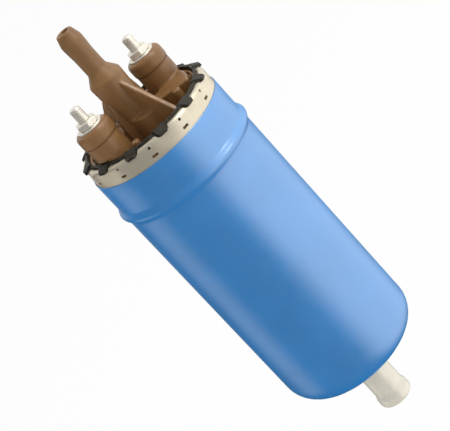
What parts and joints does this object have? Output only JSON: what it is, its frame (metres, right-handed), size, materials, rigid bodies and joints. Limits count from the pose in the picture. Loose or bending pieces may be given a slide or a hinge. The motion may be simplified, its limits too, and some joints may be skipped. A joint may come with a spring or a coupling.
{
  "type": "fuel pump",
  "caption": "Round in-line electric fuel pump in a blue can, with a crimped rim, a moulded terminal head and nozzle, and an inlet nipple at the domed end.",
  "frame": {"origin": "on the pump's axis, in the middle of the plain stretch that a clamp grips", "axes": "+Z along the axis towards the outlet nozzle; +X and +Y square to it, with the terminals at 36.9 degrees from +X"},
  "size_m": [0.0544, 0.0544, 0.1776],
  "materials": {
    "bare_metal": "bright, softly worn drawn metal of the crimped rim",
    "blue_jacket": "satin blue coat with a fine grain",
    "black_rubber": "black rubber",
    "brown_moulding": "brown phenolic moulding, semi-matt",
    "plated_steel": "zinc plated, pale",
    "nipple_metal": "pale yellowish zinc plating",
    "copper": "bare copper",
    "brass": "turned brass",
    "bronze": "sintered bronze",
    "gauze": "white moulded strainer",
    "cast_aluminium": "machined die casting",
    "ground_steel": "ground steel",
    "sintered_steel": "sintered steel",
    "spring_steel": "spring wire",
    "ferrite": "grey ferrite magnet",
    "lamination_steel": "stacked laminations",
    "enamelled_wire": "enamelled copper wire",
    "pale_moulding": "natural moulded plastic",
    "carbon": "pressed carbon"
  },
  "bodies": {
    "pump": {"can": "bare_metal", "jacket": "blue_jacket", "rim_gasket": "black_rubber", "head_cover": "brown_moulding", "head_seal": "black_rubber", "terminal_studs": "plated_steel", "terminal_washers": "plated_steel", "terminal_nuts": "plated_steel", "contact_straps": "copper", "inlet_nipple": "nipple_metal", "inlet_seal": "black_rubber", "inlet_strainer": "gauze", "suction_cover": "cast_aluminium", "rotor_ring": "ground_steel", "port_plate": "cast_aluminium", "plate_screws": "plated_steel", "relief_spring": "spring_steel", "lower_bush": "bronze", "upper_bush": "bronze", "magnet_a": "ferrite", "magnet_b": "ferrite", "magnet_clips": "spring_steel", "flux_ring": "ground_steel", "brush_plate": "pale_moulding", "brush_spring_a": "spring_steel", "brush_spring_b": "spring_steel", "valve_seat": "brass", "check_spring": "spring_steel"},
    "armature": {"shaft": "ground_steel", "armature_core": "lamination_steel", "winding": "enamelled_wire", "commutator_hub": "pale_moulding", "commutator_segments": "copper", "inner_rotor": "sintered_steel"},
    "outer_rotor": {"outer_rotor": "sintered_steel"},
    "relief_ball": {"relief_ball": "ground_steel"},
    "check_ball": {"check_ball": "ground_steel"},
    "brush_a": {"brush_a": "carbon"},
    "brush_b": {"brush_b": "carbon"}
  },
  "joints": [
    {"name": "armature_spin", "type": "hinge", "parent": "pump", "child": "armature", "pos_m": [0, 0, 0], "axis": [0, 0, 1], "continuous": true},
    {"name": "outer_rotor_spin", "type": "hinge", "parent": "pump", "child": "outer_rotor", "pos_m": [0.0015, 0, 0], "axis": [0, 0, 1], "continuous": true},
    {"name": "check_ball_lift", "type": "slide", "parent": "pump", "child": "check_ball", "axis": [0, 0, 1], "range_m": [0, 0.003], "stiffness_N_per_m": 150, "springref_m": -0.002, "deforming": ["check_spring"]},
    {"name": "relief_ball_lift", "type": "slide", "parent": "pump", "child": "relief_ball", "axis": [0, 0, -1], "range_m": [0, 0.0015], "stiffness_N_per_m": 900, "springref_m": -0.006, "deforming": ["relief_spring"]},
    {"name": "brush_a_slide", "type": "slide", "parent": "pump", "child": "brush_a", "axis": [0, 0, 1], "range_m": [0, 0.004], "stiffness_N_per_m": 120, "springref_m": -0.008, "deforming": ["brush_spring_a"]},
    {"name": "brush_b_slide", "type": "slide", "parent": "pump", "child": "brush_b", "axis": [0, 0, 1], "range_m": [0, 0.004], "stiffness_N_per_m": 120, "springref_m": -0.008, "deforming": ["brush_spring_b"]}
  ],
  "couplings": [
    {"joint": "outer_rotor_spin", "follows": "armature_spin", "ratio": 0.85714}
  ]
}
